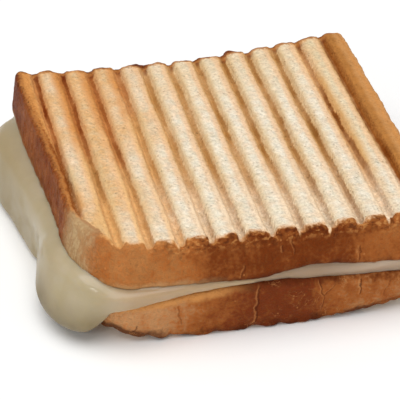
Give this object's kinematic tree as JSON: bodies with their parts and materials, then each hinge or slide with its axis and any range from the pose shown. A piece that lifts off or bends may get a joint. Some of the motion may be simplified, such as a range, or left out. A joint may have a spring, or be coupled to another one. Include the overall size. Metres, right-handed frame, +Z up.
{
  "type": "cheese toastie",
  "caption": "Grilled cheese toastie: two thick ridged slices of toast with melted cheese between them that has run out over one corner.",
  "frame": {"origin": "on the surface the toastie lies on, under the middle of its bounding box", "axes": "+Z up through the slices; the grill ridges run along Y; +X is the end of the toastie away from the cheese that has run out, and -Y is the front, the side of the loaf's rounded shoulders"},
  "size_m": [0.1324, 0.1234, 0.0367],
  "materials": {
    "toast": "dry toasted bread, pale on the ridges and brown in the grooves and crust",
    "melted_cheese": "glossy melted cheese, slightly translucent"
  },
  "bodies": {
    "root": {"top_slice": "toast", "bottom_slice": "toast", "cheese": "melted_cheese"}
  },
  "joints": []
}
